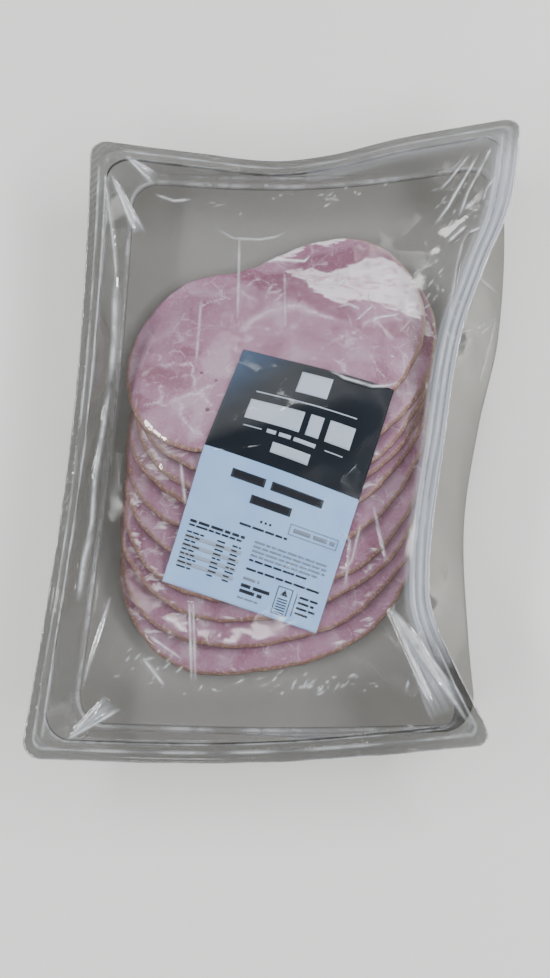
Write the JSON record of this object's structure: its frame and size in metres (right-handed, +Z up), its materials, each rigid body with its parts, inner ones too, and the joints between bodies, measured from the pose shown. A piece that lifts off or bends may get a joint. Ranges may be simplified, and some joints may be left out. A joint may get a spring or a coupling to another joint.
{
  "type": "bacon pack",
  "caption": "Flat clear formed pack whose lid film is drawn down onto shingled round-cut bacon and a tilted paper label, its flange bowed in on the right.",
  "frame": {"origin": "middle of the bounding box, on the surface that the pack lies on", "axes": "+Y from the near end to the far end, +X to the right, +Z up through the lid film"},
  "size_m": [0.2382, 0.32, 0.0399],
  "materials": {
    "tray_plastic": "clear flexible formed film, glossy",
    "lid_plastic": "clear lid film, glossy, with a fine embossed seal",
    "cured_meat": "moist cured pork with pale fat",
    "label_paper": "coated paper with dark and pale print"
  },
  "bodies": {
    "root": {"tray": "tray_plastic", "rasher_01": "cured_meat", "rasher_02": "cured_meat", "rasher_03": "cured_meat", "rasher_04": "cured_meat", "rasher_05": "cured_meat", "rasher_06": "cured_meat", "rasher_07": "cured_meat", "rasher_08": "cured_meat", "rasher_09": "cured_meat", "rasher_10": "cured_meat", "label": "label_paper", "lid_film": "lid_plastic"}
  },
  "joints": []
}
